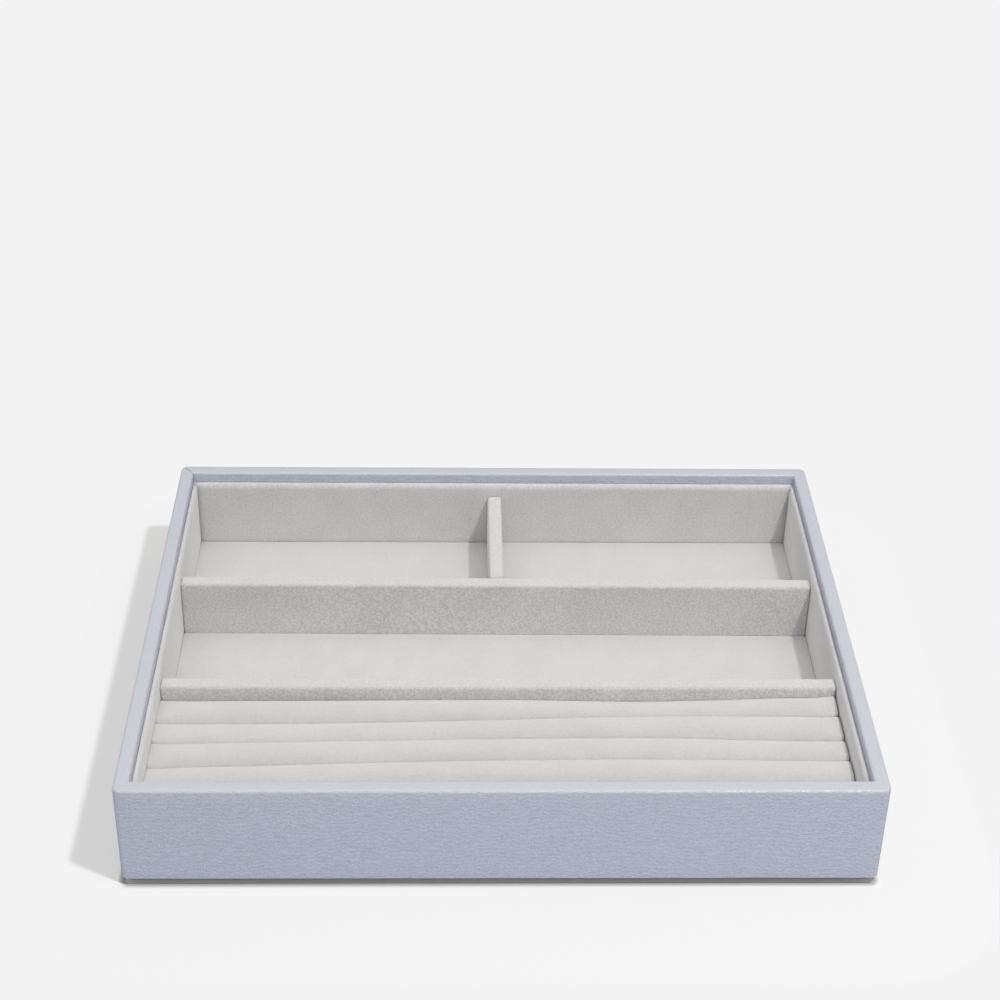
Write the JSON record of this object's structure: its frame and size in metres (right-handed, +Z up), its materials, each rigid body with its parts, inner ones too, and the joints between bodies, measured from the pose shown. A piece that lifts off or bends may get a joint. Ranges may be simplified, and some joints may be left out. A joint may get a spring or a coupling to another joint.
{
  "type": "ring and bracelet tray",
  "caption": "Stackable jewellery tray: leatherette-wrapped board frame, velvet lining, open bays for bracelets and necklaces, and a padded bed of ring rolls.",
  "frame": {"origin": "on the table, under the middle of the tray's plinth", "axes": "+X to the right along the length, +Y from the ring rolls at the front to the bays at the back, +Z up"},
  "size_m": [0.25, 0.18, 0.042],
  "materials": {
    "leatherette": "fine-grained lavender-grey leatherette, satin",
    "velvet": "pale warm-grey short-pile velvet",
    "fibreboard": "sanded fibreboard, covered",
    "greyboard": "plain pressed greyboard, covered",
    "foam": "open-cell cushion foam, covered",
    "base_felt": "warm-grey pressed felt"
  },
  "bodies": {
    "root": {"base_felt": "base_felt", "plinth_board": "greyboard", "hem_infill_card": "greyboard", "ring_bed_card": "greyboard", "front_wall_board": "fibreboard", "back_wall_board": "fibreboard", "left_wall_board": "fibreboard", "right_wall_board": "fibreboard", "base_board": "fibreboard", "leatherette_wrap": "leatherette", "back_lining_board": "greyboard", "back_lining_velvet": "velvet", "front_lining_board": "greyboard", "front_lining_velvet": "velvet", "right_lining_board": "greyboard", "right_lining_velvet": "velvet", "left_lining_board": "greyboard", "left_lining_velvet": "velvet", "rear_divider_board": "fibreboard", "rear_divider_velvet": "velvet", "front_divider_board": "fibreboard", "front_divider_velvet": "velvet", "short_divider_board": "fibreboard", "short_divider_velvet": "velvet", "rear_left_floor_card": "greyboard", "rear_left_floor_velvet": "velvet", "rear_right_floor_card": "greyboard", "rear_right_floor_velvet": "velvet", "middle_floor_card": "greyboard", "middle_floor_velvet": "velvet", "ring_roll_core_1": "foam", "ring_roll_velvet_1": "velvet", "ring_roll_core_2": "foam", "ring_roll_velvet_2": "velvet", "ring_roll_core_3": "foam", "ring_roll_velvet_3": "velvet", "ring_roll_core_4": "foam", "ring_roll_velvet_4": "velvet", "ring_roll_core_5": "foam", "ring_roll_velvet_5": "velvet"}
  },
  "joints": []
}
